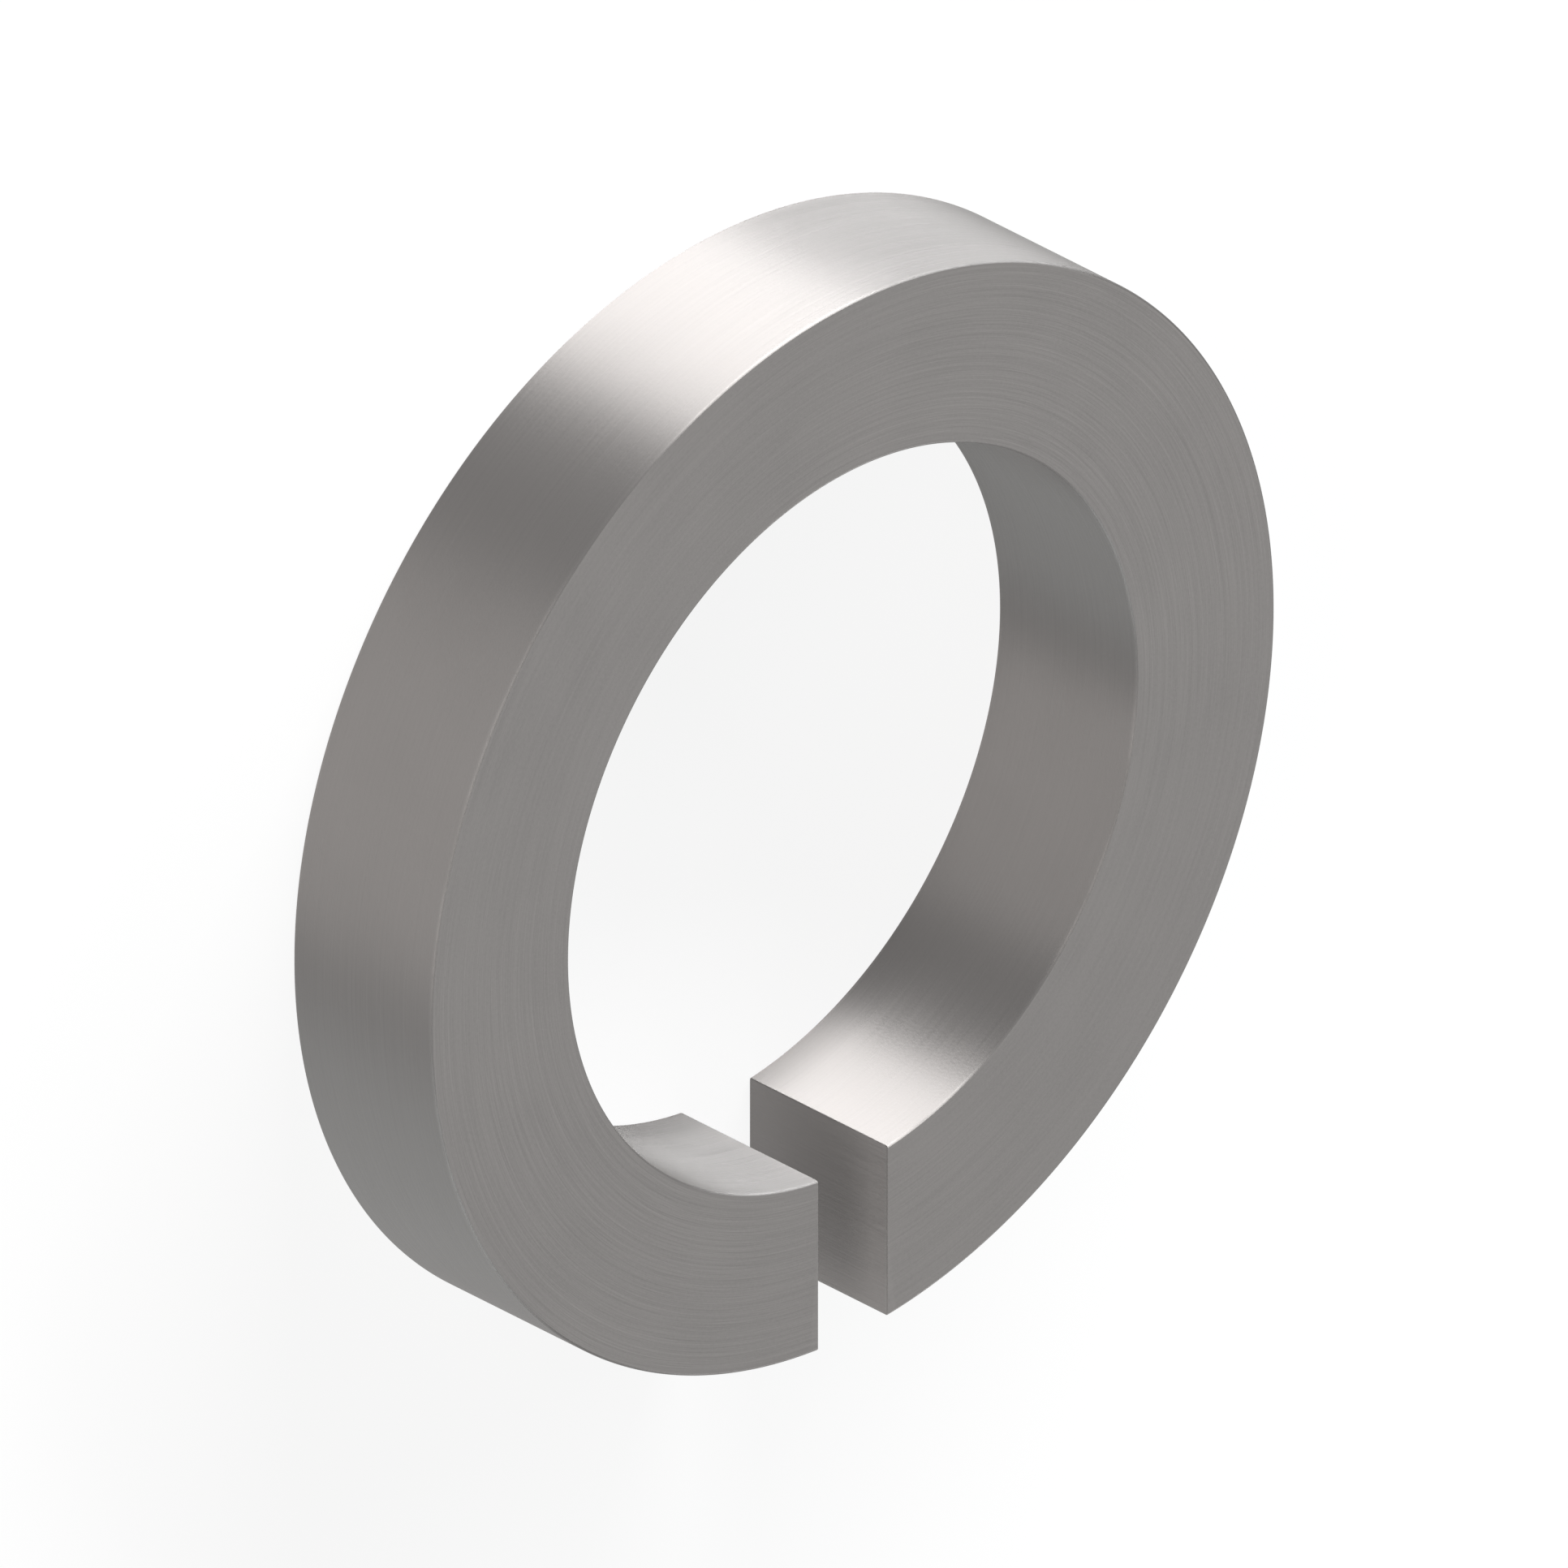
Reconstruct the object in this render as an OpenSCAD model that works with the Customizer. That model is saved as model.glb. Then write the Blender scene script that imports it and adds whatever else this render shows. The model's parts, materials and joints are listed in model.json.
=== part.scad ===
// Split lock washer of the flat, square-section kind that sits under the head of a screw.
// It is one length of square spring-steel wire, coiled flat into a ring, with a straight gap
// where its two sheared ends face each other.
// Sizes are in millimetres. The washer lies on its back face at z = 0, the bore axis is Z, and
// the gap is on the -Y side.

/* [Ring] */
// Diameter of the bore that the screw passes through
bore_d = 10.3; // [6:0.1:16]
// Radial width of the wire, from the bore wall to the outer wall
wire_w = 2.5; // [1.5:0.1:4]
// Thickness of the wire along the bore axis
wire_t = 2.5; // [1.5:0.1:4]
// Radius that the drawn wire has along its four long edges
edge_r = 0.03; // [0.02:0.01:0.3]

/* [Gap] */
// Width of the gap between the two sheared ends, which are flat and parallel
gap_w = 1.25; // [0.5:0.05:3]

/* [Hidden] */
// Steps of the ring's circles in the preview mesh
$fn = 180;
// Steps of the small circles that round the wire's edges
edge_fn = 32;
bore_r = bore_d / 2;
outer_r = bore_r + wire_w;
// How far the cutter for the gap runs past the wire
cutter_over = 1;

// Cross-section of the wire, with its inner lower corner at the origin
module wire_section() {
    translate([edge_r, 0]) square([wire_w - 2 * edge_r, wire_t]);
    translate([0, edge_r]) square([wire_w, wire_t - 2 * edge_r]);
    for (x = [edge_r, wire_w - edge_r], y = [edge_r, wire_t - edge_r])
        translate([x, y]) circle(r = edge_r, $fn = edge_fn);
}

// The wire coiled flat into a closed ring
module coiled_wire() {
    rotate_extrude() translate([bore_r, 0]) wire_section();
}

// What the shears take out: a slab with parallel sides, from the bore out past the ring
module gap_cutter() {
    translate([-gap_w / 2, -(outer_r + cutter_over), -cutter_over])
        cube([gap_w, outer_r + cutter_over, wire_t + 2 * cutter_over]);
}

module split_ring() {
    color([0.53, 0.52, 0.51]) difference() {
        coiled_wire();
        gap_cutter();
    }
}

split_ring();
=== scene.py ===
"""A split lock washer lying on a pale floor, under plain soft studio light."""
import json
import math

import bpy
from mathutils import Matrix, Vector


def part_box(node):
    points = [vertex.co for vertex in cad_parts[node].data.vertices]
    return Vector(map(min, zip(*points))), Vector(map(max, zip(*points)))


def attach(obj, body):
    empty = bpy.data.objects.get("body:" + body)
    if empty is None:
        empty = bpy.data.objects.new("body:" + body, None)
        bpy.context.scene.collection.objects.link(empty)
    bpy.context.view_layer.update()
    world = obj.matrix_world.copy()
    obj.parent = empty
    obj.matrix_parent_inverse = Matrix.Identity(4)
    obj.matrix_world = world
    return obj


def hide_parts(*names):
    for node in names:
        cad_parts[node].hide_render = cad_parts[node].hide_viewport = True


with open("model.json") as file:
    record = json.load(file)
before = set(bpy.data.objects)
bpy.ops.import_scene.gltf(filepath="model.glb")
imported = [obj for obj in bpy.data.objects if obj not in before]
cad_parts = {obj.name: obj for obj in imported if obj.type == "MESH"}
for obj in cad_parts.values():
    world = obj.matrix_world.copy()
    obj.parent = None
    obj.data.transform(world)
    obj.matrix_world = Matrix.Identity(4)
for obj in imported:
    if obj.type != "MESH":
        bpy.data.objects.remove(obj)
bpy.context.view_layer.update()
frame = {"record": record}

MM = 0.001

# Sizes from the frame. The wire is square, so its width is its thickness
bore = next(m for m in frame["record"]["mounts"] if m["name"] == "bore")
low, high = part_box("split_ring")
THICKNESS = high[2] - low[2]
BORE_R = bore["dims"]["r_mm"] * MM
OUTER_R = BORE_R + THICKNESS
MEAN_R = (BORE_R + OUTER_R) / 2
# The bore's wall stops short of each face by the radius of the wire's edge
EDGE_R = (THICKNESS - bore["dims"]["length_mm"] * MM) / 2

# Sizes that the frame doesn't give: the gap, and the easing of the sheared ends' rims
GAP_W = 1.25 * MM
END_BEVEL = 0.012 * MM

# Length of the wire along its middle, from one sheared end to the other
WIRE_LENGTH = 2 * math.pi * MEAN_R - GAP_W

# How finely the ring is cut into faces
STEPS_ROUND = 720
STEPS_IN_EDGE = 5
STEPS_IN_BEVEL = 3
POINTS_AT_EDGE = STEPS_IN_EDGE + 1
POINTS_ROUND_WIRE = 4 * POINTS_AT_EDGE

# The map that lays the wire out straight, from left to right, with its two ends in a column
# beside it
MAP_NAME = "OFBake"
MAP_MARGIN = 0.004
MAP_ENDS_U = 0.94
MAP_END_W = 0.055
MAP_END_H = 0.22
MAP_SECOND_END_V = 0.5

# The finishes' places in the ring's list of materials
WALL, FACE, END = range(3)

# The steel's own colour, before marks and wear
STEEL = (0.2262, 0.2165, 0.2111)

# The fine grain and the broad cloudy patches that every finish has
GRAIN_SIZES = (0.05 * MM, 0.05 * MM, 0.05 * MM)
CLOUD_SIZES = (1.8 * MM, 1.8 * MM, 1.8 * MM)

# How much the grain and the clouds change the steel's tone
GRAIN_TONE = 0.16
CLOUD_TONE = 0.12

# How much the marks, the grain and the clouds change its roughness
MARK_ROUGHNESS = 0.2
GRAIN_ROUGHNESS = 0.15
CLOUD_ROUGHNESS = 0.15

# The grain's height, as a share of the marks'
GRAIN_HEIGHT = 0.15

# Wear along the edges: how wide it is and how far that strays, then how much it lightens
# the steel, smooths it and flattens its marks
WEAR_WIDTH = 0.06 * MM
WEAR_STRAYS = 0.12 * MM
WEAR_TONE = 0.04
WEAR_SMOOTHS = 0.06
WEAR_FLATTENS = 0.8

# A quarter of a turn sets the spread of an anisotropic gloss up the wall, across the wire's marks
QUARTER_TURN = 0.25

# The floor: its side, how far it lies under the washer, its grey as a lit surface, and how much
# of what is shown of it is lit, and so takes the washer's shadow
FLOOR_SIZE = 1.0
FLOOR_DROP = 0.01 * MM
FLOOR_GREY = 0.9
SHADOW_SHARE = 0.12

# The world's strength as a light, where 1 is white
WORLD_FILL = 0.1

# How far off the lamps are, and the watts for each square metre that make a lamp's face as
# bright as white
LAMP_DISTANCE = 0.3
WHITE_LAMP_POWER = 4

# The photo's view of the washer's front: how far the camera is turned and raised, and how wide
# the washer is in the picture
VIEW_TURN = math.radians(45)
VIEW_RISE = math.radians(30)
PHOTO_PX = 1932
OUTER_DIAMETER_PX = 1469.65
CAMERA_DISTANCE = 0.25
CAMERA_NEAR = 0.01
CAMERA_FAR = 2


def section(inset):
    """The wire's outline, drawn in by inset: each point's radius and height, and the way it faces."""
    edges = [
        (OUTER_R - EDGE_R, THICKNESS - EDGE_R, 0),
        (BORE_R + EDGE_R, THICKNESS - EDGE_R, 90),
        (BORE_R + EDGE_R, EDGE_R, 180),
        (OUTER_R - EDGE_R, EDGE_R, 270),
    ]
    points = []
    for radius, height, start in edges:
        for step in range(POINTS_AT_EDGE):
            a = math.radians(start + 90 * step / STEPS_IN_EDGE)
            out, up = math.cos(a), math.sin(a)
            points.append((radius + (EDGE_R - inset) * out, height + (EDGE_R - inset) * up, out, up))
    return points


def ring_stations():
    """Where the sections stand along the wire.

    Each has its inset, its distance from the gap's middle, its share of the way round, and how
    far its surface leans towards the gap.
    """
    leans = [math.radians(90 * k / STEPS_IN_BEVEL) for k in range(STEPS_IN_BEVEL, 0, -1)]
    start = []
    for lean in leans:
        inset = END_BEVEL * (1 - math.cos(lean))
        offset = GAP_W / 2 + END_BEVEL * (1 - math.sin(lean))
        start.append((inset, offset, 0, lean))
    body = [(0, GAP_W / 2 + END_BEVEL, k / STEPS_ROUND, 0) for k in range(STEPS_ROUND + 1)]
    end = [(inset, offset, 1, lean) for inset, offset, share, lean in reversed(start)]
    return start + body + end


def ring_points(stations):
    """Every point of the ring and the way the surface faces there, one section after another."""
    points, normals = [], []
    for inset, offset, share, lean in stations:
        to_gap = -1 if share < 0.5 else 1
        for radius, height, out, up in section(inset):
            half_gap = math.asin(offset / radius)
            a = -math.pi / 2 + half_gap + share * (2 * math.pi - 2 * half_gap)
            points.append((radius * math.cos(a), radius * math.sin(a), height))
            outward = Vector((out * math.cos(a), out * math.sin(a), up)) * math.cos(lean)
            normals.append(outward + Vector((to_gap * math.sin(lean), 0, 0)))
    return points, normals


def across_map():
    """How far round the outline each point of the section lies on the map, and the outline's end."""
    points = [Vector(p[:2]) for p in section(0)]
    steps = [(b - a).length for a, b in zip(points, points[1:] + points[:1])]
    inside = 1 - 2 * MAP_MARGIN
    return [MAP_MARGIN + inside * sum(steps[:k]) / sum(steps) for k in range(len(points) + 1)]


def along_map(stations):
    """How far along the wire each station lies on the map."""
    places = []
    for inset, offset, share, lean in stations:
        to_end = offset - GAP_W / 2
        places.append(to_end + share * (WIRE_LENGTH - 2 * to_end))
    return [MAP_MARGIN + (MAP_ENDS_U - 2 * MAP_MARGIN) * p / WIRE_LENGTH for p in places]


def end_on_map(first_v):
    """Where a sheared end's outline lies on the map."""
    points = []
    for radius, height, out, up in section(END_BEVEL):
        u = MAP_ENDS_U + MAP_END_W * (radius - BORE_R) / THICKNESS
        points.append((u, first_v + MAP_END_H * height / THICKNESS))
    return points


def ring_faces(stations):
    """The ring's faces, their finishes, and where their corners lie on the map."""
    faces, finishes, on_map = [], [], []
    u, v = along_map(stations), across_map()
    upper_face = POINTS_AT_EDGE - 1
    back_face = 3 * POINTS_AT_EDGE - 1
    for k in range(len(stations) - 1):
        here, there = k * POINTS_ROUND_WIRE, (k + 1) * POINTS_ROUND_WIRE
        for i in range(POINTS_ROUND_WIRE):
            j = (i + 1) % POINTS_ROUND_WIRE
            faces.append((here + i, there + i, there + j, here + j))
            finishes.append(FACE if i in (upper_face, back_face) else WALL)
            on_map += [(u[k], v[i]), (u[k + 1], v[i]), (u[k + 1], v[i + 1]), (u[k], v[i + 1])]
    last = (len(stations) - 1) * POINTS_ROUND_WIRE
    faces.append(tuple(range(POINTS_ROUND_WIRE)))
    faces.append(tuple(reversed(range(last, last + POINTS_ROUND_WIRE))))
    finishes += [END, END]
    on_map += end_on_map(MAP_MARGIN) + end_on_map(MAP_SECOND_END_V)[::-1]
    return faces, finishes, on_map


def add_object(name, data):
    """A new object in the scene."""
    added = bpy.data.objects.new(name, data)
    bpy.context.scene.collection.objects.link(added)
    return added


def make_ring():
    """The split ring as one closed mesh, with the rims of its sheared ends very slightly eased."""
    stations = ring_stations()
    points, normals = ring_points(stations)
    faces, finishes, on_map = ring_faces(stations)
    mesh = bpy.data.meshes.new("ring")
    mesh.from_pydata(points, [], faces)
    mesh.polygons.foreach_set("use_smooth", [True] * len(faces))
    mesh.polygons.foreach_set("material_index", finishes)
    layer = mesh.uv_layers.new(name=MAP_NAME)
    layer.uv.foreach_set("vector", [c for place in on_map for c in place])
    mesh.normals_split_custom_set_from_vertices(normals)
    return add_object("ring", mesh)


def add_node(tree, kind, inputs=None, **settings):
    """A new node. Each input, by name or place, takes a plain value or another node's output."""
    node = tree.nodes.new("ShaderNode" + kind)
    for name, value in settings.items():
        setattr(node, name, value)
    for name, value in (inputs or {}).items():
        if isinstance(value, bpy.types.NodeSocket):
            tree.links.new(value, node.inputs[name])
        else:
            node.inputs[name].default_value = value
    return node


def maths(tree, operation, a, b=0.0):
    """The result of one sum between two values or nodes' outputs."""
    return add_node(tree, "Math", {0: a, 1: b}, operation=operation).outputs[0]


def fade(tree, value, width):
    """1 where the value is nought or less, 0 past the width, and smooth between them."""
    inputs = {"Value": value, "From Min": 0.0, "From Max": width, "To Min": 1.0, "To Max": 0.0}
    return add_node(tree, "MapRange", inputs, interpolation_type="SMOOTHSTEP").outputs["Result"]


def weighted_sum(tree, base, parts):
    """base, plus each part's amount times how far its noise is from the middle."""
    total = base
    for noise, amount in parts:
        off_middle = maths(tree, "SUBTRACT", noise, 0.5)
        total = maths(tree, "ADD", maths(tree, "MULTIPLY", off_middle, amount), total)
    return total


def wire_place(tree):
    """How far along the wire a point is, its radius and its height, in metres."""
    spot = add_node(tree, "TexCoord").outputs["Object"]
    x, y, z = add_node(tree, "SeparateXYZ", {0: spot}).outputs
    x_squared = maths(tree, "MULTIPLY", x, x)
    y_squared = maths(tree, "MULTIPLY", y, y)
    radius = maths(tree, "SQRT", maths(tree, "ADD", x_squared, y_squared))
    # This angle is nought opposite the gap, and jumps inside it
    turn = maths(tree, "ARCTAN2", x, y)
    return maths(tree, "MULTIPLY", turn, MEAN_R), radius, z


def noise_at(tree, place, sizes, detail, seed):
    """Noise whose marks have these sizes along the wire, across its radius and up its height."""
    along, across, up = [maths(tree, "DIVIDE", p, s) for p, s in zip(place, sizes)]
    spot = add_node(tree, "CombineXYZ", {0: maths(tree, "ADD", along, seed), 1: across, 2: up})
    inputs = {"Vector": spot.outputs[0], "Scale": 1.0, "Detail": detail, "Roughness": 0.6}
    return add_node(tree, "TexNoise", inputs).outputs[0]


def edge_wear(tree, place, unevenness):
    """1 at the wire's edges and the gap's, fading over the strip that handling has polished."""
    along, radius, height = place
    from_bore = maths(tree, "SUBTRACT", radius, BORE_R)
    from_outside = maths(tree, "SUBTRACT", OUTER_R, radius)
    in_width = maths(tree, "MINIMUM", from_bore, from_outside)
    in_height = maths(tree, "MINIMUM", height, maths(tree, "SUBTRACT", THICKNESS, height))
    from_gap = maths(tree, "SUBTRACT", WIRE_LENGTH / 2, maths(tree, "ABSOLUTE", along))
    # A point on a surface is at nought in one of the three, so the middle one is its distance
    # to an edge
    least = maths(tree, "MINIMUM", in_width, in_height)
    most = maths(tree, "MAXIMUM", in_width, in_height)
    distance = maths(tree, "MAXIMUM", least, maths(tree, "MINIMUM", most, from_gap))
    strayed = weighted_sum(tree, distance, [(unevenness, WEAR_STRAYS)])
    return fade(tree, strayed, WEAR_WIDTH)


def steel(name, painted_light_scale, roughness, anisotropic, mark_sizes, mark_tone, mark_depth):
    """Bare spring steel with fine marks of the given sizes, a fine grain, and polish at its edges."""
    material = bpy.data.materials.new(name)
    material.use_nodes = True
    tree = material.node_tree
    shader = tree.nodes["Principled BSDF"]
    place = wire_place(tree)
    marks = noise_at(tree, place, mark_sizes, detail=3.0, seed=11.0)
    grain = noise_at(tree, place, GRAIN_SIZES, detail=2.0, seed=37.0)
    clouds = noise_at(tree, place, CLOUD_SIZES, detail=2.0, seed=73.0)
    wear = edge_wear(tree, place, clouds)

    tones = [(marks, mark_tone), (grain, GRAIN_TONE), (clouds, CLOUD_TONE)]
    tone = weighted_sum(tree, 1.0, tones)
    tone = maths(tree, "ADD", tone, maths(tree, "MULTIPLY", wear, WEAR_TONE))
    # Each finish scales the steel's own colour here. Above 1 is painted light, below 1 is painted shade
    base = [c * painted_light_scale for c in STEEL]
    colour = add_node(tree, "VectorMath", {0: base, "Scale": tone}, operation="SCALE").outputs[0]

    changes = [(marks, MARK_ROUGHNESS), (grain, GRAIN_ROUGHNESS), (clouds, CLOUD_ROUGHNESS)]
    rough = weighted_sum(tree, roughness, changes)
    rough = maths(tree, "SUBTRACT", rough, maths(tree, "MULTIPLY", wear, WEAR_SMOOTHS))

    height = weighted_sum(tree, 0.5, [(marks, 1.0), (grain, GRAIN_HEIGHT)])
    left_by_wear = maths(tree, "SUBTRACT", 1.0, maths(tree, "MULTIPLY", wear, WEAR_FLATTENS))
    relief = {"Height": height, "Strength": left_by_wear, "Distance": mark_depth}
    bump = add_node(tree, "Bump", relief)

    tangent = add_node(tree, "Tangent", direction_type="RADIAL", axis="Z")
    shader.inputs["Metallic"].default_value = 1
    shader.inputs["Anisotropic"].default_value = anisotropic
    shader.inputs["Anisotropic Rotation"].default_value = QUARTER_TURN
    tree.links.new(colour, shader.inputs["Base Color"])
    tree.links.new(rough, shader.inputs["Roughness"])
    tree.links.new(bump.outputs[0], shader.inputs["Normal"])
    tree.links.new(tangent.outputs[0], shader.inputs["Tangent"])
    return material


def drawn_steel():
    """The round walls, with the marks that drawing the wire left along it."""
    return steel(
        "drawn_steel",
        painted_light_scale=1.0,
        roughness=0.545,
        anisotropic=0.97,
        mark_sizes=(4 * MM, 0.05 * MM, 0.05 * MM),
        mark_tone=0.3,
        mark_depth=0.006 * MM,
    )


def flat_steel():
    """The two flat faces, which are duller, with softer marks along the wire."""
    return steel(
        "flat_steel",
        # The faces' steel is painted darker than the walls'. This painted shade offsets the lamps' light
        # that their rough finish gathers
        painted_light_scale=0.84,
        roughness=0.82,
        anisotropic=0.0,
        mark_sizes=(2.5 * MM, 0.06 * MM, 0.06 * MM),
        mark_tone=0.17,
        mark_depth=0.006 * MM,
    )


def sheared_steel():
    """The two ends, with the lines that the shears left down them."""
    return steel(
        "sheared_steel",
        # The ends' steel is painted lighter than the walls'. This painted light makes up for the shade
        # that falls between the ends across the narrow gap
        painted_light_scale=1.22,
        roughness=0.7,
        anisotropic=0.0,
        mark_sizes=(0.05 * MM, 0.05 * MM, 1.2 * MM),
        mark_tone=0.22,
        mark_depth=0.008 * MM,
    )


def shown_rays(tree):
    """1 for rays that show what they meet: the camera's, and those off metal and through glass."""
    rays = add_node(tree, "LightPath").outputs
    bent = maths(tree, "MAXIMUM", rays["Is Glossy Ray"], rays["Is Transmission Ray"])
    return maths(tree, "MAXIMUM", rays["Is Camera Ray"], bent)


def floor_white():
    """White where it is shown, apart from the share that is lit and so takes a shadow."""
    material = bpy.data.materials.new("floor_white")
    material.use_nodes = True
    material.cycles.emission_sampling = "NONE"
    tree = material.node_tree
    tree.nodes.clear()
    glow_share = maths(tree, "MULTIPLY", shown_rays(tree), 1 - SHADOW_SHARE)
    grey = (FLOOR_GREY, FLOOR_GREY, FLOOR_GREY, 1)
    lit = add_node(tree, "BsdfDiffuse", {"Color": grey}).outputs[0]
    glow = add_node(tree, "Emission", {"Color": (1, 1, 1, 1), "Strength": 1.0}).outputs[0]
    mix = add_node(tree, "MixShader", {0: glow_share, 1: lit, 2: glow}).outputs[0]
    add_node(tree, "OutputMaterial", {"Surface": mix})
    return material


def make_floor():
    """A level white floor just under the washer."""
    s = FLOOR_SIZE / 2
    z = -FLOOR_DROP
    mesh = bpy.data.meshes.new("floor")
    mesh.from_pydata([(-s, -s, z), (s, -s, z), (s, s, z), (-s, s, z)], [], [(0, 1, 2, 3)])
    mesh.materials.append(floor_white())
    floor = add_object("floor", mesh)


def make_world():
    """White where it is shown, and only a dim fill as a light."""
    world = bpy.data.worlds.new("studio")
    world.use_nodes = True
    tree = world.node_tree
    strength = maths(tree, "MAXIMUM", shown_rays(tree), WORLD_FILL)
    back = tree.nodes["Background"]
    back.inputs["Color"].default_value = (1, 1, 1, 1)
    tree.links.new(strength, back.inputs["Strength"])
    bpy.context.scene.world = world


def softbox(name, azimuth, elevation, width, height, level, tint=(1, 1, 1)):
    """An area lamp aimed at the washer, level times as bright as white.

    Its place, and its width and height as the washer sees them, are angles in degrees.
    """
    a, e = math.radians(azimuth), math.radians(elevation)
    towards = Vector((math.cos(e) * math.cos(a), math.cos(e) * math.sin(a), math.sin(e)))
    lamp = bpy.data.lights.new(name, "AREA")
    lamp.shape = "RECTANGLE"
    lamp.size = 2 * LAMP_DISTANCE * math.tan(math.radians(width / 2))
    lamp.size_y = 2 * LAMP_DISTANCE * math.tan(math.radians(height / 2))
    lamp.energy = WHITE_LAMP_POWER * lamp.size * lamp.size_y * level
    lamp.color = tint
    holder = add_object(name, lamp)
    holder.location = towards * LAMP_DISTANCE
    holder.rotation_mode = "QUATERNION"
    holder.rotation_quaternion = towards.to_track_quat("Z", "Y")


def make_camera():
    """Looks at the washer's front as the photo does: from its left, and from above as it stood there."""
    a, e = VIEW_TURN, VIEW_RISE
    right = Vector((math.cos(a), 0, math.sin(a)))
    back = Vector((-math.sin(a) * math.cos(e), math.sin(e), math.cos(a) * math.cos(e)))
    up = back.cross(right)
    data = bpy.data.cameras.new("camera")
    data.type = "ORTHO"
    data.ortho_scale = 2 * OUTER_R * PHOTO_PX / OUTER_DIAMETER_PX
    data.clip_start = CAMERA_NEAR
    data.clip_end = CAMERA_FAR
    camera = add_object("camera", data)
    camera.rotation_mode = "QUATERNION"
    camera.rotation_quaternion = Matrix((right, up, back)).transposed().to_quaternion()
    camera.location = Vector((0, 0, THICKNESS / 2)) + back * CAMERA_DISTANCE
    bpy.context.scene.camera = camera


ring = make_ring()
for finish in (drawn_steel, flat_steel, sheared_steel):
    ring.data.materials.append(finish())
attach(ring, "root")
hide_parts("split_ring")
make_floor()
make_world()
make_camera()

# The four lamps stand where their reflections fall as the photo's bands do
softbox("key", azimuth=71, elevation=16, width=40.5, height=8, level=56)
softbox("right", azimuth=30, elevation=20, width=44, height=14, level=12.2, tint=(0.956, 0.985, 1))
softbox("left", azimuth=168, elevation=23, width=68.6, height=19.8, level=3.3, tint=(1, 0.968, 0.941))
softbox("front", azimuth=-111, elevation=30, width=48.4, height=16.6, level=1.9, tint=(0.895, 0.992, 1))

bpy.context.scene.view_settings.view_transform = "Standard"
